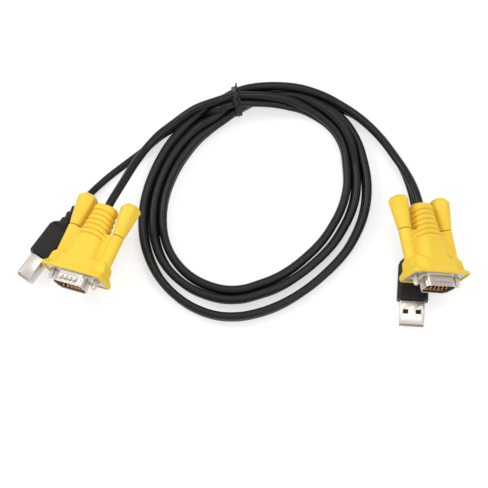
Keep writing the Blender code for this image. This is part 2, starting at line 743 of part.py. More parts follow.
def main():
    clear_scene()
    finishes = {
        "yellow": material("yellow_pvc", (1.0, 0.672, 0.058), 0.42),
        "black": material("black_pvc", (0.020, 0.020, 0.020), 0.45),
        "jacket": material("black_jacket", (0.022, 0.022, 0.023), 0.42),
        "steel": material("nickel_plated_steel", (0.72, 0.69, 0.66), 0.28, 1.0),
        "gold": material("gold_plated_pin", (0.90, 0.56, 0.20), 0.25, 1.0),
        "white": material("white_contact_carrier", (0.80, 0.80, 0.78), 0.5),
    }
    cable = empty("cable")
    left_video = empty("left_video_plug", cable)
    right_video = empty("right_video_plug", cable)
    usb_b = empty("usb_b_plug", cable)
    usb_a = empty("usb_a_plug", cable)
    cords = empty("cords", cable)

    video_plug("left_video", left_video, finishes)
    video_plug("right_video", right_video, finishes)
    usb_a_plug("usb_a", usb_a, finishes)
    usb_b_plug("usb_b", usb_b, finishes)

    place(left_video, (-0.0851, -0.0424), -24.0, -26.0, 2.0, 0.0196)
    place(right_video, (0.0853, -0.0425), 10.8, 36.0, 4.5, 0.0166)
    place(usb_b, (-0.1027, -0.0293), -36.0)
    place(usb_a, (0.0748, -0.0503), -3.2)
    for group in (usb_b, usb_a):
        set_down(group, own_pieces(group))

    coil("coil", finishes["jacket"], cords)
    twist_tie("twist_tie", finishes["black"], cords)

    def leaving(group, length):
        # A cord's first two points: just outside the moulding, and a little further straight out.
        return [group.matrix_basis @ Vector((0.0, length + far, 0.0)) for far in (cord_gap, 0.005)]

    left_video_route = leaving(left_video, boot_end) + [Vector(p) for p in (
        (-0.0652, 0.0012, 0.0152), (-0.0603, 0.0107, 0.0122), (-0.0567, 0.0184, 0.0082),
        (-0.0528, 0.0246, 0.0062), (-0.0490, 0.0287, 0.0060), (-0.0444, 0.0330, 0.0060),
        (-0.0388, 0.0378, 0.0059), (-0.0344, 0.0404, 0.0059),
    )]
    left_usb_route = leaving(usb_b, usb_b_grip_length + usb_b_relief_length) + [Vector(p) for p in (
        (-0.0772, 0.0052, 0.0026), (-0.0703, 0.0119, 0.0018), (-0.0620, 0.0186, 0.00175),
        (-0.0560, 0.0233, 0.00175), (-0.0505, 0.0279, 0.00175), (-0.0446, 0.0328, 0.00175),
        (-0.0388, 0.0375, 0.00175), (-0.0344, 0.0401, 0.00175),
    )]
    right_video_route = leaving(right_video, boot_end) + [Vector(p) for p in (
        (0.0757, 0.0040, 0.0118), (0.0722, 0.0122, 0.0088), (0.0675, 0.0202, 0.0068),
        (0.0615, 0.0289, 0.0062), (0.0543, 0.0369, 0.0060), (0.0469, 0.0428, 0.0060),
        (0.0402, 0.0472, 0.0060),
    )]
    right_usb_route = leaving(usb_a, usb_a_grip_length + usb_a_relief_length) + [Vector(p) for p in (
        (0.0774, -0.0105, 0.0026), (0.0764, -0.0030, 0.0018), (0.0745, 0.0060, 0.00175),
        (0.0713, 0.0150, 0.00175), (0.0668, 0.0233, 0.00175), (0.0606, 0.0312, 0.00175),
        (0.0543, 0.0378, 0.00175), (0.0474, 0.0432, 0.00175), (0.0405, 0.0476, 0.00175),
    )]
    tube("left_video_cord", left_video_route, video_cord, finishes["jacket"], cords)
    tube("left_usb_cord", left_usb_route, usb_cord, finishes["jacket"], cords)
    tube("right_video_cord", right_video_route, video_cord, finishes["jacket"], cords)
    tube("right_usb_cord", right_usb_route, usb_cord, finishes["jacket"], cords)

    # The origin is the middle of the plugs' footprint.
    plugs = [p for g in (left_video, right_video, usb_a, usb_b) for p in own_pieces(g)]
    cable.location = -footprint_center(plugs)
    bpy.context.view_layer.update()


main()
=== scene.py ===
import math

import bmesh
import bpy
import numpy as np
from mathutils import Matrix, Vector


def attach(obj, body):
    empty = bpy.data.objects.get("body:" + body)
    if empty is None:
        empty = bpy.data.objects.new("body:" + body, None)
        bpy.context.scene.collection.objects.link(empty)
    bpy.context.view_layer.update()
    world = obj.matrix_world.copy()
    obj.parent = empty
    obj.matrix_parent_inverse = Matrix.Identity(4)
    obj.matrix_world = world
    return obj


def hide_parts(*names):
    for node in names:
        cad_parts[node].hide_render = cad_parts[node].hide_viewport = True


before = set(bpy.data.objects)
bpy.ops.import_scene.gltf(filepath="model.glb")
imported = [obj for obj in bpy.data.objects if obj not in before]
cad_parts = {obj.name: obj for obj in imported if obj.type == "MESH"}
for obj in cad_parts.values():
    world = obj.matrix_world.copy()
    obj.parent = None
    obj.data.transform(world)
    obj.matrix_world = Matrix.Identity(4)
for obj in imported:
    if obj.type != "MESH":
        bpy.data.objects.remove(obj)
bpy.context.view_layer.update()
print("frame: ready")

up = Vector((0.0, 0.0, 1.0))
sharpAngle = math.radians(40.0)      # an edge that bends by more than this is drawn sharp


# where each plug lies: its own frame has the nose along -Y, its width along X and its broad face up
plugPlaces = {
    "left_video": {"origin": (-0.079643, -0.011574, 0.0196), "heading": -24.0, "roll": -26.0, "pitch": 2.0},
    "right_video": {"origin": (0.090757, -0.011674, 0.0166), "heading": 10.8, "roll": 36.0, "pitch": 4.5},
    "usb_b": {"origin": (-0.097243, 0.001526, 0.0053), "heading": -36.0, "roll": 0.0, "pitch": 0.0},
    "usb_a": {"origin": (0.080257, -0.019474, 0.0040), "heading": -3.2, "roll": 0.0, "pitch": 0.0},
}
videoPlugs = ("left_video", "right_video")


def plugMatrix(plug):
    place = plugPlaces[plug]
    return (Matrix.Translation(place["origin"])
            @ Matrix.Rotation(math.radians(place["heading"]), 4, "Z")
            @ Matrix.Rotation(math.radians(-place["pitch"]), 4, "X")
            @ Matrix.Rotation(math.radians(place["roll"]), 4, "Y"))


def addObject(name, data, material=None):
    piece = bpy.data.objects.new(name, data)
    bpy.context.collection.objects.link(piece)
    if material:
        data.materials.append(material)
    return piece


def paint(piece, material):
    piece.data.materials.clear()
    piece.data.materials.append(material)


def handOver(piece, body, slot, *nodes):
    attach(piece, body)
    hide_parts(*nodes)


def bakeModifiers(piece):
    # the evaluated mesh takes the place of the old one, so nothing live is left on the piece
    bpy.context.view_layer.update()
    graph = bpy.context.evaluated_depsgraph_get()
    old, baked = piece.data, bpy.data.meshes.new_from_object(piece.evaluated_get(graph))
    piece.modifiers.clear()
    piece.data = baked
    bpy.data.meshes.remove(old)


def shadeEdges(mesh):
    mesh.shade_smooth()
    mesh.set_sharp_from_angle(angle=sharpAngle)


def closeMesh(bm, mesh):
    # writes a finished shape into its mesh, with its faces turned outwards, and gives the mesh back
    bmesh.ops.recalc_face_normals(bm, faces=bm.faces)
    bm.to_mesh(mesh)
    bm.free()
    shadeEdges(mesh)
    return mesh


def readPoints(mesh, key):
    values = np.empty(len(mesh.vertices) * 3)
    mesh.vertices.foreach_get(key, values)
    return values.reshape(-1, 3)


def writePoints(mesh, points):
    mesh.vertices.foreach_set("co", points.ravel())
    mesh.update()


def bridge(bm, near, far):
    # a band of faces between two closed rings of points
    for i in range(len(near)):
        j = (i + 1) % len(near)
        bm.faces.new((near[i], near[j], far[j], far[i]))


def arcPoints(x, z, radius, start, stop, count):
    return [(x + radius * math.cos(a), z + radius * math.sin(a))
            for a in np.linspace(math.radians(start), math.radians(stop), count)]


def smoothStep(share):
    share = np.clip(share, 0.0, 1.0)
    return share * share * (3 - 2 * share)


# node helpers

def inputSocket(node, name):
    return next(s for s in node.inputs if s.name == name and s.enabled)


def feed(tree, socket, value):
    # another node's output is linked to the socket, and anything else is set on it
    if isinstance(value, bpy.types.NodeSocket):
        tree.links.new(value, socket)
    else:
        socket.default_value = (*value, 1.0) if socket.type == "RGBA" else value


def feedNode(tree, node, feeds):
    for name, value in feeds.items():
        feed(tree, inputSocket(node, name), value)


def addNode(tree, kind, feeds=None, **settings):
    node = tree.nodes.new(kind)
    node.location = (220 * len(tree.nodes), 0)
    for key, value in settings.items():
        setattr(node, key, value)
    feedNode(tree, node, feeds or {})
    return node


def made(tree, kind, feeds=None, **settings):
    # a new node's first output
    return addNode(tree, kind, feeds, **settings).outputs[0]


def mathNode(tree, operation, *values):
    node = addNode(tree, "ShaderNodeMath", operation=operation)
    for socket, value in zip(node.inputs, values):
        feed(tree, socket, value)
    return node.outputs[0]


def plus(tree, first, second):
    return mathNode(tree, "ADD", first, second)


def minus(tree, first, second):
    return mathNode(tree, "SUBTRACT", first, second)


def times(tree, first, second):
    return mathNode(tree, "MULTIPLY", first, second)


def mapValue(tree, value, fromLow, fromHigh, toLow=0.0, toHigh=1.0):
    return made(tree, "ShaderNodeMapRange", {
        "Value": value, "From Min": fromLow, "From Max": fromHigh, "To Min": toLow, "To Max": toHigh})


def mixColor(tree, share, first, second):
    node = addNode(tree, "ShaderNodeMix", {"Factor": share, "A": first, "B": second}, data_type="RGBA")
    return next(socket for socket in node.outputs if socket.enabled)


# shader groups that several finishes share

def newTree(kind, name, inputs, outputs=("Geometry",)):
    # a node group whose named inputs start at these values; None stands for a material
    tree = bpy.data.node_groups.new(name, kind + "NodeTree")
    inputKinds = {float: "NodeSocketFloat", int: "NodeSocketInt", type(None): "NodeSocketMaterial"}
    for key, value in inputs.items():
        socket = tree.interface.new_socket(key, in_out="INPUT", socket_type=inputKinds[type(value)])
        if value is not None:
            socket.default_value = value
    outputKind = "NodeSocketFloat" if kind == "Shader" else "NodeSocketGeometry"
    for key in outputs:
        tree.interface.new_socket(key, in_out="OUTPUT", socket_type=outputKind)
    return tree, addNode(tree, "NodeGroupInput").outputs


def buildGrainGroup():
    # slow blotches for colour and gloss, and a fine grain for the surface
    tree, given = newTree("Shader", "moldedGrain", {
        "Blotch Scale": 60.0, "Grain Scale": 2200.0, "Grain Mix": 0.6},
        ("Blotch", "Fine", "Height"))
    where = addNode(tree, "ShaderNodeTexCoord").outputs["Object"]
    blotch = made(tree, "ShaderNodeTexNoise", {
        "Vector": where, "Scale": given["Blotch Scale"], "Detail": 4.0, "Roughness": 0.55})
    fine = made(tree, "ShaderNodeTexNoise", {
        "Vector": where, "Scale": given["Grain Scale"], "Detail": 3.0})
    height = plus(tree, times(tree, fine, given["Grain Mix"]), blotch)
    addNode(tree, "NodeGroupOutput", {"Blotch": blotch, "Fine": fine, "Height": height})
    return tree


def buildEdgeGroup():
    # masks from how pointed the surface is: where an edge stands out, for a painted highlight and for wear,
    # and where two surfaces meet, for painted shade
    tree, given = newTree("Shader", "ridgeAndCrease", {
        "Ridge From": 0.52, "Ridge To": 0.60, "Crease From": 0.48, "Crease To": 0.40},
        ("Ridge", "Crease"))
    pointed, shares = addNode(tree, "ShaderNodeNewGeometry").outputs["Pointiness"], {}
    for name in ("Ridge", "Crease"):
        shares[name] = mapValue(tree, pointed, given[name + " From"], given[name + " To"])
    addNode(tree, "NodeGroupOutput", shares)
    return tree


grainGroup = buildGrainGroup()
edgeGroup = buildEdgeGroup()


# a finish has these values where its own table gives no other
usualLook = {"gloss": 0.26, "metallic": 0.0, "bumpDistance": 0.00004}
finishes = {
    "yellowVinyl": {
        # pale lightens blotches and edges, the edges part wear and part painted highlight; deep is painted
        # shade in the grooves and creases
        "gloss": 0.34, "color": (0.990, 0.668, 0.048), "pale": (1.0, 0.712, 0.078),
        "deep": (0.780, 0.370, 0.008), "rough": (0.36, 0.50),
        "blotchScale": 70.0, "grainScale": 2600.0, "bump": 0.35,
    },
    "cordJacket": {
        "color": (0.0085, 0.0085, 0.0088), "pale": (0.014, 0.014, 0.0145),
        "rough": (0.27, 0.38), "blotchScale": 45.0, "grainScale": 1500.0, "bump": 0.25,
    },
    "overmold": {
        "color": (0.0080, 0.0080, 0.0078), "pale": (0.018, 0.018, 0.0175),
        "rough": (0.34, 0.50), "blotchScale": 90.0, "grainScale": 4200.0, "bump": 0.5,
    },
    "tiePlastic": {
        "color": (0.010, 0.010, 0.010), "pale": (0.028, 0.028, 0.028),
        "rough": (0.30, 0.44), "blotchScale": 300.0, "grainScale": 3000.0, "bump": 0.3,
    },
    "nickelSteel": {
        "gloss": 0.5, "metallic": 1.0, "bumpDistance": 0.00002,
        # dull tones the stains and is painted shade in the corners; pale is a painted highlight on the
        # edges
        "color": (0.560, 0.512, 0.476), "pale": (0.780, 0.745, 0.710), "dull": (0.400, 0.358, 0.325),
        "rough": (0.31, 0.36), "lineScale": 1800.0, "stretch": 0.06, "bump": 0.012,
        "blotchScale": 220.0, "grainScale": 3000.0,
    },
    # a darkened gold: painted shade, for the pins that sit deep in the opening
    "goldContact": {
        "gloss": 0.5, "metallic": 1.0,
        "color": (0.680, 0.340, 0.095), "pale": (0.860, 0.530, 0.200),
        "rough": (0.20, 0.34), "blotchScale": 900.0, "grainScale": 5000.0, "bump": 0.15,
    },
    "carrierWhite": {
        "gloss": 0.5, "color": (0.720, 0.715, 0.690), "pale": (0.800, 0.798, 0.780),
        "rough": (0.42, 0.56), "blotchScale": 200.0, "grainScale": 3600.0, "bump": 0.3,
    },
    # black for the video plugs' insulators, and painted shade on the USB-A tongue
    "blackInsulatorAndShade": {
        "gloss": 0.15, "color": (0.0130, 0.0125, 0.0120), "pale": (0.022, 0.021, 0.020),
        "rough": (0.48, 0.62), "blotchScale": 250.0, "grainScale": 3600.0, "bump": 0.3,
    },
}
# a row of four numbers is a range that is read and the range that it becomes
# groove, crease and corner give painted shade, edge gives a painted highlight, and the worn range gives
# lighter edges that are part wear and part painted highlight; blotch and stain are the material's own tone
wearAndPaintedLight = {"blotch": (0.35, 0.65, 0.0, 0.45), "edgeWearAndSheen": (0.3, 0.7, 0.35, 1.0), "stain": (0.45, 0.72, 0.0, 0.35),
        "rough": (0.3, 0.7), "groove": 0.75, "crease": 0.5, "corner": 0.6, "edge": 0.7}


def makeFinish(name):
    look = {**usualLook, **finishes[name]}
    material = bpy.data.materials.new(name)
    material.use_nodes = True
    tree = material.node_tree
    scales = {"Blotch Scale": look["blotchScale"], "Grain Scale": look["grainScale"]}
    grain = addNode(tree, "ShaderNodeGroup", scales, node_tree=grainGroup).outputs
    edge = addNode(tree, "ShaderNodeGroup", node_tree=edgeGroup).outputs
    if "stretch" in look:
        # drawn sheet steel: long fine lines and stains, with painted shade in the corners and a painted
        # highlight on its edges
        where = addNode(tree, "ShaderNodeTexCoord").outputs["Object"]
        stretch = made(tree, "ShaderNodeMapping", {"Vector": where, "Scale": (1.0, look["stretch"], 1.0)})
        gloss = height = made(tree, "ShaderNodeTexNoise", {
            "Vector": stretch, "Scale": look["lineScale"], "Detail": 4.0})
        layers = [("dull", mapValue(tree, grain["Blotch"], *wearAndPaintedLight["stain"])),
                  ("dull", times(tree, edge["Crease"], wearAndPaintedLight["corner"])),
                  ("pale", times(tree, edge["Ridge"], wearAndPaintedLight["edge"]))]
    else:
        gloss, height = grain["Blotch"], grain["Height"]
        # lighter blotches of the material's own tone, and lighter edges that are part wear and part painted
        # highlight
        layers = [("pale", mapValue(tree, grain["Blotch"], *wearAndPaintedLight["blotch"])),
                  ("pale", times(tree, edge["Ridge"], mapValue(tree, grain["Fine"], *wearAndPaintedLight["edgeWearAndSheen"])))]
    if "deep" in look:
        # painted shade: the darker colour in the grooves, on the seat's rim and where two surfaces meet
        groove = addNode(tree, "ShaderNodeAttribute", attribute_name="groove").outputs["Fac"]
        layers += [("deep", times(tree, groove, wearAndPaintedLight["groove"])),
                   ("deep", times(tree, edge["Crease"], wearAndPaintedLight["crease"]))]
    color = look["color"]
    for tone, share in layers:
        color = mixColor(tree, share, color, look[tone])
    bump = made(tree, "ShaderNodeBump", {
        "Strength": look["bump"], "Distance": look["bumpDistance"], "Height": height})
    feedNode(tree, tree.nodes["Principled BSDF"], {
        "Base Color": color, "Roughness": mapValue(tree, gloss, *wearAndPaintedLight["rough"], *look["rough"]),
        "Normal": bump, "Metallic": look["metallic"], "IOR": 1.5, "Specular IOR Level": look["gloss"]})
    return material


paints = {name: makeFinish(name) for name in finishes}
print("finishes: 8 materials")


# camera, from the photograph's angle

view = {"target": (0.00018, 0.00994, 0.0), "distance": 2.0, "elevation": 74.0, "width": 0.2335,
        "sensor": 36.0, "clipEnd": 20.0}

lens = bpy.data.cameras.new("camera")
lens.sensor_width = view["sensor"]
lens.lens = view["sensor"] * view["distance"] / view["width"]
lens.clip_end = view["clipEnd"]
camera = addObject("camera", lens)
tilt = math.radians(view["elevation"])
camera.location = Vector(view["target"]) + view["distance"] * Vector((0.0, -math.cos(tilt), math.sin(tilt)))
camera.rotation_euler = (math.pi / 2 - tilt, 0.0, 0.0)
bpy.context.scene.camera = camera


# cords: both run from the left plugs three times round the coil and on to the right plugs

cordShift = Vector((0.005457, 0.030826, 0.0))      # from the drawing of the routes to the row
coilCenter = Vector((0.005857, 0.029626, 0.0))
coilRun = {
    "turns": 3, "tieAngle": 100.5, "entry": 132.0, "exit": 52.0, "step": 2.5, "tieLift": 0.0016,
    "tieReach": 26.0, "laneChange": 0.06, "pileUp": 0.9, "innerAside": 0.2,
}
# stretches of the coil, counted in turns from the tie: where the incoming pair climbs over the others,
# and where the outgoing video cord rides up on the turn below it
incoming = {"start": -0.075, "rise": 0.05, "end": 0.135, "fall": 0.065, "laneStart": -0.06, "laneRun": 0.15,
            "inward": 0.0008, "usbInward": 0.0040}
outgoing = {"start": 2.995, "rise": 0.045, "end": 3.135, "fall": 0.05, "videoUp": 0.0036,
            "usbOutward": 0.0024}

# the video cord's radius in each lane, in millimetres, by angle: inner, middle, outer
coilLanes = [
    (0, 42.2, 47.4, 53.2), (22, 47.2, 51.2, 55.6), (38, 52.0, 55.1, 58.0), (50, 53.0, 56.0, 58.6),
    (60, 53.9, 55.4, 58.2), (66, 53.6, 54.9, 57.8), (74, 53.1, 54.3, 57.0), (88, 50.6, 52.0, 54.6),
    (100, 46.6, 49.4, 52.4), (112, 44.4, 47.2, 50.2), (125, 42.8, 46.6, 50.4), (142, 41.5, 45.9, 50.4),
    (157, 41.7, 46.1, 50.6), (171, 42.8, 47.3, 52.0), (190, 45.2, 50.0, 55.1), (209, 48.0, 53.2, 58.4),
    (228, 48.6, 53.6, 60.3), (246, 47.0, 51.8, 60.2), (258, 45.0, 49.8, 58.4), (270, 41.6, 46.4, 55.4),
    (289, 38.4, 43.2, 51.2), (312, 36.6, 41.5, 48.9), (340, 38.4, 43.7, 50.7),
]
# the fourth lane, outside the other three, which only the incoming and outgoing pairs take
outerLane = [(40, 63.4), (50, 62.4), (62, 59.7), (70, 58.1), (77, 57.0), (83, 56.0), (92, 54.6),
             (100, 53.4), (108, 52.6), (114, 52.0), (120, 52.0), (126, 52.7), (134, 54.2), (142, 55.9)]
# how far the USB cord lies towards the middle from under the video cord, in millimetres, by angle
usbAside = [(0, 1.2), (40, 0.9), (60, 0.3), (120, 0.4), (150, 1.2), (208, 1.3), (232, 0.4), (285, 0.2),
            (312, 1.1), (360, 1.2)]

cords = {
    "video": {
        "size": 0.0041, "height": 0.0058, "overHeight": 0.0096,
        "from": ("left_video", 0.0375), "to": ("right_video", 0.0375),
        "nodes": ("left_video_cord", "right_video_cord", "coil"),
        "lead": [(-0.0663, -0.0010, 0.0172), (-0.0624, 0.0066, 0.0143), (-0.0587, 0.0142, 0.0107),
                 (-0.0552, 0.0205, 0.0078), (-0.0521, 0.0250, 0.0064), (-0.0488, 0.0289, 0.0060),
                 (-0.0444, 0.0330, 0.0060)],
        "tail": [(0.0469, 0.0428, 0.0060), (0.0543, 0.0369, 0.0060), (0.0615, 0.0289, 0.0062),
                 (0.0675, 0.0202, 0.0068), (0.0722, 0.0122, 0.0088), (0.0757, 0.0040, 0.0118)],
    },
    "usb": {
        "size": 0.0035, "height": 0.00175, "overHeight": 0.0092,
        "from": ("usb_b", 0.0320), "to": ("usb_a", 0.0280),
        "nodes": ("left_usb_cord", "right_usb_cord"),
        "lead": [(-0.0772, 0.0052, 0.0026), (-0.0703, 0.0119, 0.0018), (-0.0620, 0.0186, 0.00175),
                 (-0.0560, 0.0233, 0.00175), (-0.0505, 0.0279, 0.00175), (-0.0446, 0.0328, 0.00175)],
        "tail": [(0.0474, 0.0432, 0.00175), (0.0543, 0.0378, 0.00175), (0.0606, 0.0312, 0.00175),
                 (0.0668, 0.0233, 0.00175), (0.0713, 0.0150, 0.00175), (0.0745, 0.0060, 0.00175),
                 (0.0764, -0.0030, 0.0018), (0.0774, -0.0105, 0.0026)],
    },
}
laying = {
    "spacing": 0.0021, "finer": 12, "leave": (0.0003, 0.0030), "room": 0.0001, "rounds": 70, "ownNear": 8,
    "heldPoints": 5, "push": (0.14, 0.14, 0.36), "keep": 0.4, "share": 0.3, "ease": 0.995, "sides": 4,
}


def throughPoints(before, near, far, after, share):
    # one smooth curve through chosen values, between near and far
    return 0.5 * (2 * near + (far - before) * share + (2 * before - 5 * near + 4 * far - after) * share ** 2
                  + (3 * near - before - 3 * far + after) * share ** 3)


def valueAt(degrees, table):
    return float(np.interp(degrees, [row[0] for row in table], [row[1] for row in table]))


def laneRadius(angle, lane):
    # lane 0 is the innermost and lane 3 the one outside the coil; between them the cord changes over
    degrees = angle % 360
    count = len(coilLanes)
    at = max(i for i in range(count) if coilLanes[i][0] <= degrees)
    rows = [coilLanes[(at + k) % count] for k in (-1, 0, 1, 2)]
    share = (degrees - rows[1][0]) / ((rows[2][0] - rows[1][0]) % 360)
    radii = [throughPoints(*(row[k] for row in rows), share) for k in (1, 2, 3)]
    radii.append(valueAt(degrees, outerLane))
    low = min(2, int(lane))
    return (radii[low] + (radii[low + 1] - radii[low]) * (lane - low)) * 0.001


def insideStretch(turned, part):
    # 1 inside a stretch of the coil and 0 outside it, with a smooth change at both ends
    rise = smoothStep((turned - part["start"]) / part["rise"])
    return rise * smoothStep((part["end"] - turned) / part["fall"])


def coilPoint(turned, cord):
    # turned counts the turns since the tie, less than 0 before the cord first reaches it
    angle = coilRun["tieAngle"] - 360.0 * turned
    whole = round(turned)
    size = cords[cord]["size"] * 1000
    change = coilRun["laneChange"]
    if turned < 0.5:
        # the incoming pair crosses from the fourth lane to the innermost
        lane = 3.0 - 3.0 * smoothStep((turned - incoming["laneStart"]) / incoming["laneRun"])
    elif abs(turned - whole) < change:
        lane = whole - 1 + smoothStep((turned - whole + change) / (2 * change))
    else:
        lane = math.floor(turned)
    over = insideStretch(turned, incoming)
    riding = insideStretch(turned, outgoing)
    # where the lanes are closer than a cord is thick, the middle one lies higher
    crowded = max(0.0, 1.0 - abs(lane - 1.0)) * (1.0 - over)
    pitch = 500 * (laneRadius(angle, 2.0) - laneRadius(angle, 0.0))
    height = cords[cord]["height"]
    height += coilRun["pileUp"] * 0.001 * crowded * math.sqrt(max(0.0, size ** 2 - pitch ** 2))
    height += over * (cords[cord]["overHeight"] - height)
    if cord == "usb":
        aside = 0.001 * valueAt(angle % 360, usbAside) * (1.0 - over)
        aside *= min(1.0, coilRun["innerAside"] + lane)
        beside = riding * outgoing["usbOutward"] - aside - over * incoming["usbInward"]
    else:
        beside = -over * incoming["inward"]
        height += riding * outgoing["videoUp"]
    lift = coilRun["tieLift"] * (1 - smoothStep(abs(turned - whole) * 360.0 / coilRun["tieReach"]))
    radius = laneRadius(angle, max(0.0, min(3.0, lane))) + beside
    turn = math.radians(angle)
    return coilCenter + Vector((radius * math.cos(turn), radius * math.sin(turn), height + lift))


def leaving(plug, length):
    matrix = plugMatrix(plug)
    return [matrix @ Vector((0.0, length + far, 0.0)) for far in laying["leave"]]


def cordRoute(cord):
    shape = cords[cord]
    begin = (coilRun["tieAngle"] - coilRun["entry"]) / 360.0
    finish = coilRun["turns"] + (coilRun["tieAngle"] - coilRun["exit"]) / 360.0
    count = round((finish - begin) * 360.0 / (4 * coilRun["step"]))
    return (leaving(*shape["from"]) + [Vector(p) + cordShift for p in shape["lead"]]
            + [coilPoint(begin + (finish - begin) * i / count, cord) for i in range(count + 1)]
            + [Vector(p) + cordShift for p in shape["tail"]] + leaving(*shape["to"])[::-1])


def evenPoints(route, spacing):
    # the route as a smooth line, read at even distances
    padded = [2 * route[0] - route[1]] + route + [2 * route[-1] - route[-2]]
    fine, finer = [], laying["finer"]
    for a, b, c, d in zip(padded, padded[1:], padded[2:], padded[3:]):
        fine += [throughPoints(a, b, c, d, i / finer) for i in range(finer)]
    fine = np.array([tuple(p) for p in fine + [route[-1]]])
    along = np.concatenate([[0.0], np.cumsum(np.linalg.norm(np.diff(fine, axis=0), axis=1))])
    wanted = np.linspace(0.0, along[-1], round(along[-1] / spacing) + 1)
    return np.stack([np.interp(wanted, along, fine[:, k]) for k in range(3)], axis=1)


def settleCords(lines, sizes):
    # pushes cords that overlap apart, and keeps them on the surface, without changing their run
    counts = [len(line) for line in lines]
    points = np.vstack(lines)
    home = points.copy()
    radius = np.concatenate([np.full(n, size / 2) for n, size in zip(counts, sizes)])
    owner = np.concatenate([np.full(n, k) for k, n in enumerate(counts)])
    order = np.concatenate([np.arange(n) for n in counts])
    apart = ((owner[:, None] != owner[None, :])
             | (np.abs(order[:, None] - order[None, :]) > laying["ownNear"]))
    ends = laying["heldPoints"]
    held = np.concatenate([(np.arange(n) < ends) | (np.arange(n) >= n - ends) for n in counts])
    need = radius[:, None] + radius[None, :]
    # sideways less than upwards, so the bundle keeps its outline and piles up
    push = np.array(laying["push"])
    for _ in range(laying["rounds"]):
        offset = points[:, None, :] - points[None, :, :]
        distance = np.sqrt((offset ** 2).sum(axis=2)) + 1e-9
        overlap = np.where(apart & (distance < need), (need - distance) / distance, 0.0)
        moved = points + (offset * overlap[:, :, None]).sum(axis=1) * push - home
        moved[held] = 0.0
        for k in range(len(lines)):
            part = moved[owner == k]
            part[1:-1] = laying["keep"] * part[1:-1] + laying["share"] * (part[:-2] + part[2:])
            moved[owner == k] = part
        moved[held] = 0.0
        points = home + laying["ease"] * moved
        points[:, 2] = np.maximum(points[:, 2], radius)
    return [points[owner == k] for k in range(len(lines))]


def makeCord(name, line, diameter):
    curve = bpy.data.curves.new(name, "CURVE")
    curve.dimensions = "3D"
    curve.bevel_depth = diameter / 2
    curve.bevel_resolution = laying["sides"]
    curve.use_fill_caps = True
    spline = curve.splines.new("POLY")
    spline.points.add(len(line) - 1)
    for point, place in zip(spline.points, line):
        point.co = (*place, 1.0)
    spline.use_smooth = True
    return addObject(name, curve, paints["cordJacket"])


cordLines = settleCords([evenPoints(cordRoute(cord), laying["spacing"]) for cord in cords],
                        [shape["size"] + laying["room"] for shape in cords.values()])
for (name, shape), line in zip(cords.items(), cordLines):
    cord = makeCord(name + "Cord", line, shape["size"])
    length = float(np.linalg.norm(np.diff(line, axis=0), axis=1).sum())
    handOver(cord, "cable", "jacket", *shape["nodes"])
    print(f"cords: {cord.name} is {length:.3f} m long")


# twist tie

tie = {
    "width": 0.0030, "thick": 0.00045, "wire": 0.00095, "clearance": 0.00035, "bandPoints": 72,
    "reach": 0.0016, "farSide": 0.02, "cordPoints": 28, "twistTurns": 2.0, "twistLength": 0.0064,
    "twistFrom": 0.15, "twistRadius": 0.00082, "twistWidth": 0.0017, "twistWire": 0.0008, "twistPoints": 40,
    "twistRise": 0.0006, "twistBow": 0.0008, "sway": 0.0012, "swayAngle": 4.0,
    "tail": 0.0050, "tailPoints": 8,
}
# the two ends' directions along, out and up, and their shares of the full length
tieEnds = [{"bend": (-0.25, 0.75, 0.15), "share": 1.0}, {"bend": (0.8, 0.75, -0.35), "share": 4 / 7}]


def hullOf(points):
    # the outline that a tight band takes round a bundle
    ordered = sorted(points)
    halves = []
    for run in (ordered, ordered[::-1]):
        half = []
        for p in run:
            while len(half) > 1 and ((half[-1][0] - half[-2][0]) * (p[1] - half[-2][1])
                                     - (half[-1][1] - half[-2][1]) * (p[0] - half[-2][0])) <= 0:
                half.pop()
            half.append(p)
        halves.append(half[:-1])
    return halves[0] + halves[1]


def ribbon(bm, path, acrosses, width, wire, closed):
    # a flat strip with the wire's ridge along its middle
    ridge, thick = wire / 2, tie["thick"]
    edge = [(-width / 2, -thick / 2), (-ridge, -thick / 2), (-ridge / 2, -ridge), (ridge / 2, -ridge),
            (ridge, -thick / 2), (width / 2, -thick / 2)]
    outline = edge + [(u, -v) for u, v in reversed(edge)]
    rows = []
    count = len(path)
    for i, place in enumerate(path):
        ahead = path[(i + 1) % count] if closed or i < count - 1 else place
        behind = path[i - 1] if closed or i > 0 else place
        along = (ahead - behind).normalized()
        side = (acrosses[i] - along * acrosses[i].dot(along)).normalized()
        normal = along.cross(side)
        rows.append([bm.verts.new(place + side * u + normal * v) for u, v in outline])
    for near, far in zip(rows, rows[1:] + (rows[:1] if closed else [])):
        bridge(bm, near, far)
    if not closed:
        bm.faces.new(rows[0])
        bm.faces.new(list(reversed(rows[-1])))


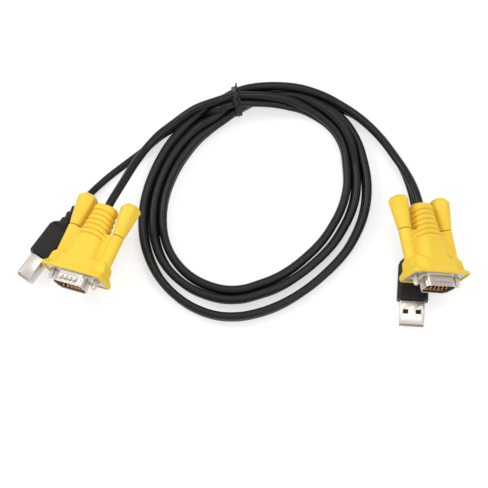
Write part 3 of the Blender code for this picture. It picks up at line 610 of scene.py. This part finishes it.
def makeTie():
    angle = math.radians(coilRun["tieAngle"])
    out = Vector((math.cos(angle), math.sin(angle), 0.0))
    along = Vector((-math.sin(angle), math.cos(angle), 0.0))
    outline = []
    for line, cord in zip(cordLines, cords.values()):
        ring = arcPoints(0.0, 0.0, cord["size"] / 2 + tie["clearance"], 0, 360, tie["cordPoints"] + 1)
        for place in line:
            offset = Vector(place) - coilCenter
            if abs(offset.dot(along)) < tie["reach"] and offset.dot(out) > tie["farSide"]:
                outline += [(offset.dot(out) + x, offset.z + z) for x, z in ring[:-1]]
    loop = hullOf(outline)
    loop.append(loop[0])
    gaps = np.linalg.norm(np.diff(np.array(loop), axis=0), axis=1)
    at = np.concatenate([[0.0], np.cumsum(gaps)])
    wanted = np.linspace(0.0, at[-1], tie["bandPoints"], endpoint=False)
    flat = list(zip(*(np.interp(wanted, at, [p[k] for p in loop]) for k in (0, 1))))
    path = [coilCenter + out * r + up * max(z, tie["wire"] / 2) for r, z in flat]
    bm = bmesh.new()
    ribbon(bm, path, [along] * len(path), tie["width"], tie["wire"], True)
    top = max(z for r, z in flat) + tie["twistRise"]
    inner, outer = min(r for r, z in flat), max(r for r, z in flat)
    start = inner + tie["twistFrom"] * (outer - inner)
    for strand, end in enumerate(tieEnds):
        path, acrosses = [], []
        for share in np.linspace(0.0, 1.0, tie["twistPoints"]):
            phase = math.pi * strand + 2 * math.pi * tie["twistTurns"] * share
            center = (coilCenter + out * (start + share * tie["twistLength"])
                      + along * (tie["sway"] * math.sin(tie["swayAngle"] * share))
                      + up * (top + tie["twistBow"] * math.sin(math.pi * share)))
            swing = along * math.cos(phase) + up * math.sin(phase)
            path.append(center + swing * tie["twistRadius"])
            acrosses.append(along * -math.sin(phase) + up * math.cos(phase))
        bend = along * end["bend"][0] + out * end["bend"][1] + up * end["bend"][2]
        steps = tie["tailPoints"]
        for i in range(1, steps + 1):
            toward = (out * (1 - i / steps) + bend * (i / steps)).normalized()
            path.append(path[-1] + toward * (tie["tail"] * end["share"] / steps))
            acrosses.append(acrosses[-1])
        ribbon(bm, path, acrosses, tie["twistWidth"], tie["twistWire"], False)
    piece = addObject("twistTie", closeMesh(bm, bpy.data.meshes.new("twistTie")), paints["tiePlastic"])
    handOver(piece, "cable", "tie", "twist_tie")


makeTie()
print("tie: strip and twisted ends")


# moulded pieces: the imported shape, fused and rounded as a mould leaves it

meshGaps = {"doubles": 0.000002, "grown": 0.0000005, "flatAngle": math.radians(1.0),
            "edgeAngle": math.radians(35.0)}


def localCopy(node, name, matrix, flatten=False):
    # a node's mesh in its plug's own frame, with its doubles merged and, if asked, its flat faces whole
    bm = bmesh.new()
    bm.from_mesh(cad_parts[node].data)
    bmesh.ops.remove_doubles(bm, verts=bm.verts, dist=meshGaps["doubles"])
    bm.transform(matrix.inverted())
    if flatten:
        bmesh.ops.dissolve_limit(bm, angle_limit=meshGaps["flatAngle"], verts=bm.verts, edges=bm.edges)
    mesh = bpy.data.meshes.new(name)
    bm.to_mesh(mesh)
    bm.free()
    return addObject(name, mesh)


def keepLargest(mesh):
    # the fused shape's main skin, without the crumbs that thin gaps leave inside it
    bm = bmesh.new()
    bm.from_mesh(mesh)
    left, skins = set(bm.verts), []
    while left:
        skin, rim = set(), {left.pop()}
        while rim:
            skin |= rim
            rim = {edge.other_vert(vert) for vert in rim for edge in vert.link_edges} - skin
        left -= skin
        skins.append(skin)
    skins.sort(key=len)
    for skin in skins[:-1]:
        bmesh.ops.delete(bm, geom=list(skin), context="VERTS")
    bm.to_mesh(mesh)
    bm.free()


def fuse(piece, voxel, rounds):
    # one skin over all the parts, a little softened
    skin = piece.modifiers.new("fuse", "REMESH")
    skin.mode, skin.voxel_size = "VOXEL", voxel
    soften = piece.modifiers.new("soften", "SMOOTH")
    soften.factor, soften.iterations = 0.5, rounds
    bakeModifiers(piece)
    piece.data.shade_smooth()


def fusedPiece(node, name, matrix, voxel, rounds, material):
    piece = localCopy(node, name, matrix)
    fuse(piece, voxel, rounds)
    keepLargest(piece.data)
    paint(piece, material)
    return piece


def edgedPiece(node, name, matrix, width, material):
    # a pressed or cut piece: flat faces kept, edges rounded a little
    piece = localCopy(node, name, matrix, flatten=True)
    soften = piece.modifiers.new("edges", "BEVEL")
    soften.width, soften.segments = width, 2
    soften.limit_method, soften.angle_limit = "ANGLE", meshGaps["edgeAngle"]
    bakeModifiers(piece)
    shadeEdges(piece.data)
    paint(piece, material)
    return piece


def settle(piece, matrix, body, slot, *nodes):
    # puts a finished piece in its place in the row
    piece.data.transform(matrix)
    piece.data.update()
    handOver(piece, body, slot, *nodes)


hood = {
    "lip": 0.0013, "slope": 0.0030, "slopePower": 0.7, "slopeEnd": 0.0112, "topHalf": 0.0077,
    "crownHalf": 0.0080, "crownDrop": 0.0030, "crownFade": 0.0045, "fullHalf": 0.0067,
    "voxel": 0.00023, "firstRounds": 1, "rounds": 2, "bootEnd": 0.0375, "ribs": 6, "ribPitch": 0.0026,
    "ribInset": 0.3, "ribBow": 0.0012, "grooveWidth": 0.00030, "grooveDepth": 0.00012, "bodyHalf": 0.0088,
    "bootFrom": 0.0195, "bootHalf": (0.0072, 0.0058), "discPlace": 0.0155, "discRadius": 0.0024,
    "discEdge": 0.00007, "discDepth": 0.00016, "discRim": 0.00016, "discRimShade": 0.45, "discAbove": 0.003,
}


def slopeShoulder(piece):
    # behind the flange's lip the shoulder falls away towards the screw sleeves
    co = readPoints(piece.data, "co")
    deep = np.clip((co[:, 1] - hood["lip"]) / hood["slope"], 0.0, 1.0)
    aside = smoothStep((np.abs(co[:, 0]) - hood["crownHalf"]) / hood["crownFade"])
    low = hood["fullHalf"] - hood["crownDrop"] * aside
    limit = hood["topHalf"] + (low - hood["topHalf"]) * deep ** hood["slopePower"]
    near = (co[:, 1] > hood["lip"]) & (co[:, 1] < hood["slopeEnd"])
    co[:, 2] = np.where(near & (np.abs(co[:, 2]) > limit), np.sign(co[:, 2]) * limit, co[:, 2])
    writePoints(piece.data, co)
    fuse(piece, hood["voxel"], hood["rounds"])


def carveBoot(mesh, withDisc):
    # sharpens the bowed grooves of the boot, and notes them for the painted shade in the grooves
    co = readPoints(mesh, "co")
    share = np.clip((co[:, 1] - hood["bootFrom"]) / (hood["bootEnd"] - hood["bootFrom"]), 0.0, 1.0)
    half = hood["bootHalf"][0] + (hood["bootHalf"][1] - hood["bootHalf"][0]) * share
    bowed = co[:, 1] + hood["ribBow"] * (co[:, 0] / half) ** 2
    first = hood["bootEnd"] - hood["ribPitch"] * (hood["ribs"] + hood["ribInset"])
    groove = np.zeros(len(co))
    for rib in range(hood["ribs"]):
        off = (bowed - first - rib * hood["ribPitch"]) / hood["grooveWidth"]
        groove = np.maximum(groove, np.exp(-off ** 2))
    groove *= (np.abs(co[:, 0]) < hood["bodyHalf"]) & (co[:, 1] > hood["bootFrom"])
    co -= readPoints(mesh, "normal") * (groove * hood["grooveDepth"])[:, None]
    if withDisc:
        # the round seat on the body's upper face, which stays bare
        reach = np.hypot(co[:, 0], co[:, 1] - hood["discPlace"]) - hood["discRadius"]
        upper = co[:, 2] > hood["discAbove"]
        seat = 1.0 / (1.0 + np.exp(reach / hood["discEdge"]))
        co[:, 2] -= np.where(upper, seat * hood["discDepth"], 0.0)
        # the seat's rim is noted as well, for a ring of painted shade
        rim = np.exp(-(reach / hood["discRim"]) ** 2)
        groove = np.maximum(groove, np.where(upper, hood["discRimShade"] * rim, 0.0))
    note = mesh.attributes.new("groove", "FLOAT", "POINT")
    note.data.foreach_set("value", groove.astype(np.float32))
    writePoints(mesh, co)


for plug in videoPlugs:
    matrix = plugMatrix(plug)
    piece = fusedPiece(plug + "_hood", plug + "Hood", matrix, hood["voxel"], hood["firstRounds"],
                       paints["yellowVinyl"])
    slopeShoulder(piece)
    carveBoot(piece.data, plug == "right_video")
    settle(piece, matrix, "cable", "hood", plug + "_hood")
    print(f"hood: {piece.name} has {len(piece.data.polygons)} faces")

knobShape = {"voxel": 0.00015, "rounds": 1}
for plug in videoPlugs:
    for side in ("left", "right"):
        matrix = plugMatrix(plug)
        name = f"{plug}_{side}_knob"
        piece = fusedPiece(name, plug + side.capitalize() + "Knob", matrix, knobShape["voxel"],
                           knobShape["rounds"], paints["yellowVinyl"])
        settle(piece, matrix, f"{plug.split('_')[0]}_plug_{side}_thumbscrew", "hood", name)
print("knobs: 4")

gripShape = {"voxel": 0.00020, "rounds": 2}
for plug in ("usb_a", "usb_b"):
    matrix = plugMatrix(plug)
    piece = fusedPiece(plug + "_grip", plug.replace("_", "").capitalize() + "Grip", matrix,
                       gripShape["voxel"], gripShape["rounds"], paints["overmold"])
    settle(piece, matrix, "cable", "black_plastic", plug + "_grip")
print("grips: 2")


# geometry node trees for the pieces that repeat

def closeTree(tree, given, geometry):
    whole = made(tree, "GeometryNodeRealizeInstances", {"Geometry": geometry})
    painted = made(tree, "GeometryNodeSetMaterial", {
        "Geometry": whole, "Material": given["Material"]})
    addNode(tree, "NodeGroupOutput", {"Geometry": painted})
    return tree


def vectorFrom(tree, x=0.0, y=0.0, z=0.0):
    return made(tree, "ShaderNodeCombineXYZ", {"X": x, "Y": y, "Z": z})


def placed(tree, geometry, move=(0.0, 0.0, 0.0), turn=(0.0, 0.0, 0.0)):
    return made(tree, "GeometryNodeTransform", {
        "Geometry": geometry, "Translation": move, "Rotation": turn})


def joined(tree, *parts):
    node = addNode(tree, "GeometryNodeJoinGeometry")
    for part in reversed(parts):
        tree.links.new(part, node.inputs["Geometry"])
    return node.outputs["Geometry"]


def swept(tree, path, outline):
    return made(tree, "GeometryNodeCurveToMesh", {
        "Curve": path, "Profile Curve": outline, "Fill Caps": True})


def standOn(tree, points, shape):
    return made(tree, "GeometryNodeInstanceOnPoints", {"Points": points, "Instance": shape})


alongNose = (math.pi / 2, 0.0, 0.0)      # turns a piece built along Z to the plug's nose, -Y
barShape = {"sides": 20, "rings": 16, "behind": -0.00002}
screwShape = {"sides": 32, "point": 0.0006, "overlap": 0.00004, "pointBase": 0.985, "pointTip": 0.6,
              "plainEnd": 0.0009, "threadSteps": 28, "crestSides": 6}
stripShape = {"steps": 12, "fillet": 0.00005, "filletSteps": 2, "handles": (-0.6, -0.9)}


def roundBar(tree, radius, length):
    # a bar along -Y from the origin with a rounded tip: a ball whose front half moves ahead
    ball = made(tree, "GeometryNodeMeshUVSphere", {
        "Segments": barShape["sides"], "Rings": barShape["rings"], "Radius": radius})
    place = made(tree, "GeometryNodeInputPosition")
    height = addNode(tree, "ShaderNodeSeparateXYZ", {"Vector": place}).outputs["Z"]
    ahead = mathNode(tree, "GREATER_THAN", height, barShape["behind"])
    stretch = made(tree, "GeometryNodeSetPosition", {
        "Geometry": ball, "Offset": vectorFrom(tree, z=times(tree, ahead, length))})
    return placed(tree, stretch, turn=alongNose)


def buildPinTree():
    # rows of pins, each row half a pitch aside from the next
    tree, given = newTree("Geometry", "pinRows", {
        "Pin Pitch": 0.00229, "Row Pitch": 0.00198, "Pin Radius": 0.00038, "Pin Length": 0.0051,
        "Pins In Row": 5, "Rows": 3, "Material": None})
    rows, perRow = given["Rows"], given["Pins In Row"]
    index = made(tree, "GeometryNodeInputIndex")
    row = mathNode(tree, "FLOOR", mathNode(tree, "DIVIDE", plus(tree, index, 0.01), perRow))
    column = minus(tree, index, times(tree, row, perRow))
    middleColumn = times(tree, minus(tree, perRow, 1.0), 0.5)
    middleRow = times(tree, minus(tree, rows, 1.0), 0.5)
    fromMiddle = minus(tree, row, middleRow)
    rowsAway = mathNode(tree, "ABSOLUTE", fromMiddle)
    aside = minus(tree, 0.25, times(tree, rowsAway, 0.5))
    across = plus(tree, minus(tree, column, middleColumn), aside)
    place = vectorFrom(tree, times(tree, across, given["Pin Pitch"]), 0.0,
                       times(tree, fromMiddle, given["Row Pitch"]))
    dots = made(tree, "GeometryNodePoints", {
        "Count": times(tree, rows, perRow), "Position": place})
    pin = roundBar(tree, given["Pin Radius"], given["Pin Length"])
    return closeTree(tree, given, standOn(tree, dots, pin))


def buildScrewTree():
    # a plain shank, then a thinner core with a blunt point and a helical thread round it
    tree, given = newTree("Geometry", "threadedScrew", {
        "Core Radius": 0.00118, "Screw Length": 0.030, "Thread Length": 0.0040, "Thread Pitch": 0.00062,
        "Thread Height": 0.00024, "Shank Radius": 0.00142, "Material": None})
    radius, thread, sides = given["Core Radius"], given["Thread Length"], screwShape["sides"]
    shankLength = minus(tree, given["Screw Length"], thread)
    coreLength = minus(tree, thread, screwShape["point"])
    helixLength = minus(tree, thread, screwShape["plainEnd"])
    shank = made(tree, "GeometryNodeMeshCylinder", {
        "Vertices": sides, "Radius": given["Shank Radius"], "Depth": shankLength})
    core = made(tree, "GeometryNodeMeshCylinder", {
        "Vertices": sides, "Radius": radius, "Depth": coreLength})
    point = made(tree, "GeometryNodeMeshCone", {
        "Vertices": sides, "Depth": screwShape["point"],
        "Radius Bottom": times(tree, radius, screwShape["pointBase"]),
        "Radius Top": times(tree, radius, screwShape["pointTip"])})
    helix = made(tree, "GeometryNodeCurveSpiral", {
        "Resolution": screwShape["threadSteps"], "Start Radius": radius, "End Radius": radius,
        "Rotations": mathNode(tree, "DIVIDE", helixLength, given["Thread Pitch"]), "Height": helixLength})
    crest = made(tree, "GeometryNodeCurvePrimitiveCircle", {
        "Resolution": screwShape["crestSides"], "Radius": given["Thread Height"]})
    pointFrom = minus(tree, shankLength, screwShape["overlap"])
    whole = joined(
        tree,
        placed(tree, shank, vectorFrom(tree, z=times(tree, shankLength, 0.5))),
        placed(tree, core, vectorFrom(
            tree, z=plus(tree, shankLength, times(tree, coreLength, 0.5)))),
        placed(tree, point, vectorFrom(tree, z=plus(tree, pointFrom, coreLength))),
        placed(tree, swept(tree, helix, crest), vectorFrom(tree, z=shankLength)))
    return closeTree(tree, given, placed(tree, whole, turn=alongNose))


def buildContactTree():
    # flat springs side by side, each a rounded strip that bends down at its front end
    tree, given = newTree("Geometry", "contactRow", {
        "Count": 4, "Pitch": 0.0022, "Strip Width": 0.0009, "Strip Thickness": 0.00016,
        "Strip Length": 0.0056, "Nose Drop": 0.0002, "Material": None})
    length = given["Strip Length"]
    first = times(tree, minus(tree, given["Count"], 1.0), -0.5)
    line = made(tree, "GeometryNodeMeshLine", {
        "Count": given["Count"], "Offset": vectorFrom(tree, given["Pitch"]),
        "Start Location": vectorFrom(tree, times(tree, first, given["Pitch"]))})
    near, far = (vectorFrom(tree, y=times(tree, length, share)) for share in stripShape["handles"])
    end = vectorFrom(tree, y=times(tree, length, -1.0), z=given["Nose Drop"])
    run = made(tree, "GeometryNodeCurvePrimitiveBezierSegment", {
        "Resolution": stripShape["steps"], "Start": (0.0, 0.0, 0.0), "Start Handle": near,
        "End Handle": far, "End": end})
    outline = made(tree, "GeometryNodeCurvePrimitiveQuadrilateral", {
        "Width": given["Strip Width"], "Height": given["Strip Thickness"]})
    rounded = made(tree, "GeometryNodeFilletCurve", {
        "Count": stripShape["filletSteps"], "Radius": stripShape["fillet"], "Curve": outline,
    }, mode="POLY")
    strip = swept(tree, run, rounded)
    return closeTree(tree, given, standOn(tree, line, strip))


def growFrom(tree, name, values):
    # runs a tree on an empty mesh with these inputs, and keeps its result as a plain mesh
    piece = addObject(name, bpy.data.meshes.new(name))
    grow = piece.modifiers.new("grow", "NODES")
    grow.node_group = tree
    for socket in tree.interface.items_tree:
        if socket.item_type == "SOCKET" and socket.in_out == "INPUT" and socket.name in values:
            grow[socket.identifier] = values[socket.name]
    bakeModifiers(piece)
    bm = bmesh.new()
    bm.from_mesh(piece.data)
    bmesh.ops.remove_doubles(bm, verts=bm.verts, dist=meshGaps["grown"])
    closeMesh(bm, piece.data)
    return piece


pinTree, screwTree, contactTree = buildPinTree(), buildScrewTree(), buildContactTree()

nose = {
    "recess": 0.0004, "plateWidth": 0.03079, "plateHeight": 0.0125, "plateThick": 0.0008,
    "plateCorner": 0.0016, "plateEdge": 0.00013, "cutReach": 0.01,
    "insideWidth": 0.0169, "insideHeight": 0.0083, "length": 0.0062,
    "wall": 0.0004, "corner": 0.0026, "slant": 10.0, "foot": 0.0009, "dimples": 4, "dimplePitch": 0.0026,
    "dimpleRadius": 0.00120, "dimpleDepth": 0.00046, "dimplePlace": 0.58, "dimplePower": 1.5,
    "dimpleAbove": 0.003, "screwSpacing": 0.02499, "holeRadius": 0.00172, "holePoints": 48,
    "screwTip": 0.0042, "screwBack": 0.0333, "pinBack": 0.0002, "pins": 15,
}
# how many points the outlines and the shroud's section have
fineness = {"plateCorner": 8, "shroudCorner": 9, "wideSide": 26, "slantSide": 4, "foot": 6, "outside": 22,
            "lip": 7, "inside": 24}


def plateLoop():
    x = nose["plateWidth"] / 2 - nose["plateCorner"]
    z = nose["plateHeight"] / 2 - nose["plateCorner"]
    loop = []
    for quarter, (cx, cz) in enumerate(((x, z), (-x, z), (-x, -z), (x, -z))):
        loop += arcPoints(cx, cz, nose["plateCorner"], 90 * quarter, 90 * quarter + 90,
                          fineness["plateCorner"])
    return loop


def shroudLoop(grow):
    # the D outline with its wide side up, as many points whatever it grows by
    slant, count = nose["slant"], fineness["shroudCorner"]
    radius = nose["corner"] + grow
    high = nose["insideHeight"] / 2 - nose["corner"]
    wide = nose["insideWidth"] / 2 - nose["corner"]
    narrow = wide - 2 * high * math.tan(math.radians(slant))
    corners = [arcPoints(wide, high, radius, -slant, 90, count),
               arcPoints(-wide, high, radius, 90, 180 + slant, count),
               arcPoints(-narrow, -high, radius, 180 + slant, 270, count),
               arcPoints(narrow, -high, radius, 270, 360 - slant, count)]
    loop = []
    for k, corner in enumerate(corners):
        loop += corner
        near, far = corner[-1], corners[(k + 1) % 4][0]
        steps = fineness["slantSide" if k % 2 else "wideSide"]
        loop += [(near[0] + (far[0] - near[0]) * i / steps, near[1] + (far[1] - near[1]) * i / steps)
                 for i in range(1, steps)]
    return loop


def addPrism(name, loop, front, back):
    bm = bmesh.new()
    near = [bm.verts.new((x, front, z)) for x, z in loop]
    far = [bm.verts.new((x, back, z)) for x, z in loop]
    bridge(bm, near, far)
    bm.faces.new(near)
    bm.faces.new(list(reversed(far)))
    return addObject(name, closeMesh(bm, bpy.data.meshes.new(name)))


def makePlate(name, face, back):
    # the flange plate with its opening and its two screw holes, its edges rounded
    plate = addPrism(name, plateLoop(), face, back)
    reach, points = nose["cutReach"], nose["holePoints"]
    cutters = [addPrism("openingCut", shroudLoop(0.5 * nose["wall"]), -reach, reach)]
    for side in (-1, 1):
        ring = arcPoints(side * nose["screwSpacing"] / 2, 0.0, nose["holeRadius"], 0,
                         360 - 360 / points, points)
        cutters.append(addPrism("holeCut", ring, -reach, reach))
    for cutter in cutters:
        cut = plate.modifiers.new("cut", "BOOLEAN")
        cut.operation, cut.solver, cut.object = "DIFFERENCE", "EXACT", cutter
    edges = plate.modifiers.new("edges", "BEVEL")
    edges.width, edges.segments, edges.limit_method = nose["plateEdge"], 2, "ANGLE"
    bakeModifiers(plate)
    for cutter in cutters:
        bpy.data.objects.remove(cutter)
    return plate


def dimpleDepth(place):
    # how far the shroud is pressed in here by the dimples on its two wide sides
    middle = nose["recess"] - nose["dimplePlace"] * nose["length"]
    depth = 0.0
    for i in range(nose["dimples"]):
        x = (i - (nose["dimples"] - 1) / 2) * nose["dimplePitch"]
        share = math.hypot(place.x - x, place.y - middle) / nose["dimpleRadius"]
        if abs(place.z) > nose["dimpleAbove"] and share < 1.0:
            depth += nose["dimpleDepth"] * (1 - share ** 2) ** nose["dimplePower"]
    return depth


def makeConnectorShell(name):
    # the plate, and the shroud drawn out of it with a rounded foot and a rolled lip
    wall, foot = nose["wall"], nose["foot"]
    face, back = nose["recess"], nose["recess"] + nose["plateThick"]
    lip = face - nose["length"] + wall / 2
    profile = [(wall + foot * (1 - math.sin(a)), face - foot * (1 - math.cos(a)))
               for a in np.linspace(0.0, math.pi / 2, fineness["foot"])]
    profile += [(wall, y) for y in np.linspace(face - foot, lip, fineness["outside"])[1:]]
    profile += [(wall / 2 + wall / 2 * math.cos(a), lip - wall / 2 * math.sin(a))
                for a in np.linspace(0.0, math.pi, fineness["lip"])[1:]]
    profile += [(0.0, y) for y in np.linspace(lip, back, fineness["inside"])[1:]]
    profile.append((wall + foot, back))
    plate = makePlate(name, face, back)
    base = shroudLoop(0.0)
    outs = [Vector((x1 - x0, 0.0, z1 - z0)).normalized()
            for (x0, z0), (x1, z1) in zip(base, shroudLoop(wall))]
    bm = bmesh.new()
    bm.from_mesh(plate.data)
    rows = []
    for grow, y in profile:
        places = [Vector((x, y, z)) + out * grow for (x, z), out in zip(base, outs)]
        rows.append([bm.verts.new(place - out * dimpleDepth(place)) for place, out in zip(places, outs)])
    for near, far in zip(rows, rows[1:] + rows[:1]):
        bridge(bm, near, far)
    closeMesh(bm, plate.data)
    paint(plate, paints["nickelSteel"])
    return plate


for plug in videoPlugs:
    matrix = plugMatrix(plug)
    shell = makeConnectorShell(plug + "Shell")
    settle(shell, matrix, "cable", "steel", plug + "_connector_shell")
    pins = growFrom(pinTree, plug + "Pins", {"Material": paints["goldContact"]})
    settle(pins, matrix @ Matrix.Translation((0.0, nose["pinBack"], 0.0)), "cable", "contact",
           *(f"{plug}_pin_{n:02d}" for n in range(1, nose["pins"] + 1)))
    for side, sign in (("left", -1), ("right", 1)):
        length = nose["screwTip"] + nose["screwBack"]
        screw = growFrom(screwTree, f"{plug}{side.capitalize()}Screw",
                         {"Screw Length": length, "Material": paints["nickelSteel"]})
        place = Matrix.Translation((sign * nose["screwSpacing"] / 2, nose["screwBack"], 0.0))
        settle(screw, matrix @ place, f"{plug.split('_')[0]}_plug_{side}_thumbscrew", "steel",
               f"{plug}_{side}_screw")
    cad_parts[plug + "_insulator"].material_slots[0].material = paints["blackInsulatorAndShade"]
print("connectors: shells, 30 pins, 4 screws")


# USB shells, carriers and contacts

usbA = {"contactBack": -0.0046, "contactRise": -0.00012, "contactThick": 0.00022, "edge": 0.00008}
usbB = {"edge": 0.00010}

matrix = plugMatrix("usb_a")
shellA = edgedPiece("usb_a_shell", "usbAShell", matrix, usbA["edge"], paints["nickelSteel"])
settle(shellA, matrix, "cable", "steel", "usb_a_shell")
contactsA = growFrom(contactTree, "usbAContacts", {
    "Strip Thickness": usbA["contactThick"], "Material": paints["goldContact"]})
place = Matrix.Translation((0.0, usbA["contactBack"], usbA["contactRise"]))
settle(contactsA, matrix @ place, "cable", "contact")
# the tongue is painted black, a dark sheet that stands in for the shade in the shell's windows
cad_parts["usb_a_tongue"].material_slots[0].material = paints["blackInsulatorAndShade"]

matrix = plugMatrix("usb_b")
shellB = edgedPiece("usb_b_shell", "usbBShell", matrix, usbB["edge"], paints["nickelSteel"])
settle(shellB, matrix, "cable", "steel", "usb_b_shell")
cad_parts["usb_b_core"].material_slots[0].material = paints["carrierWhite"]
print("usb: shells and contacts")


# floor, sky and lamps

stage = {"floorColor": (0.62, 0.62, 0.62), "floorGlow": 0.58, "floorSize": 3.0, "floorDrop": -0.0001,
         "sky": 0.62, "glossySky": 0.80}

bm = bmesh.new()
bmesh.ops.create_grid(bm, x_segments=1, y_segments=1, size=stage["floorSize"])
bmesh.ops.translate(bm, verts=bm.verts, vec=(0.0, 0.0, stage["floorDrop"]))
floor = addObject("floor", closeMesh(bm, bpy.data.meshes.new("floor")))
floorPaint = bpy.data.materials.new("palePaper")
floorPaint.use_nodes = True
tree = floorPaint.node_tree
tree.nodes.clear()
paper = addNode(tree, "ShaderNodeBsdfDiffuse", {"Color": stage["floorColor"]})
rays = addNode(tree, "ShaderNodeLightPath").outputs
seen = mathNode(tree, "MAXIMUM", rays["Is Camera Ray"],
                mathNode(tree, "MAXIMUM", rays["Is Glossy Ray"], rays["Is Transmission Ray"]))
glow = addNode(tree, "ShaderNodeEmission", {"Strength": times(tree, seen, stage["floorGlow"])})
both = addNode(tree, "ShaderNodeAddShader")
tree.links.new(paper.outputs[0], both.inputs[0])
tree.links.new(glow.outputs[0], both.inputs[1])
addNode(tree, "ShaderNodeOutputMaterial", {"Surface": both.outputs[0]})
floor.data.materials.append(floorPaint)

sky = bpy.data.worlds.new("sky")
sky.use_nodes = True
bpy.context.scene.world = sky
tree = sky.node_tree
rays = addNode(tree, "ShaderNodeLightPath").outputs
strength = plus(tree, stage["sky"], times(tree, rays["Is Camera Ray"], 1.0 - stage["sky"]))
strength = plus(tree, strength, times(tree, rays["Is Glossy Ray"], stage["glossySky"] - stage["sky"]))
feedNode(tree, tree.nodes["Background"], {"Strength": strength, "Color": (1.0, 1.0, 1.0)})

lamps = {
    "keyLamp": {"place": (-0.72, 0.36, 0.78), "aim": (0.0, 0.02, 0.0), "size": 0.42, "power": 3.3},
    "fillLamp": {"place": (0.60, -0.50, 0.80), "aim": (0.0, 0.0, 0.0), "size": 0.70, "power": 1.9},
    "topLamp": {"place": (0.13, 0.26, 0.95), "aim": (0.06, 0.0, 0.0), "size": 0.34, "power": 1.35},
}
for name, lamp in lamps.items():
    light = bpy.data.lights.new(name, "AREA")
    light.size = lamp["size"]
    light.energy = lamp["power"]
    holder = addObject(name, light)
    holder.location = lamp["place"]
    aim = Vector(lamp["aim"]) - Vector(lamp["place"])
    holder.rotation_euler = aim.to_track_quat("-Z", "Y").to_euler()

bpy.context.scene.view_settings.view_transform = "Standard"

print("scene: complete")
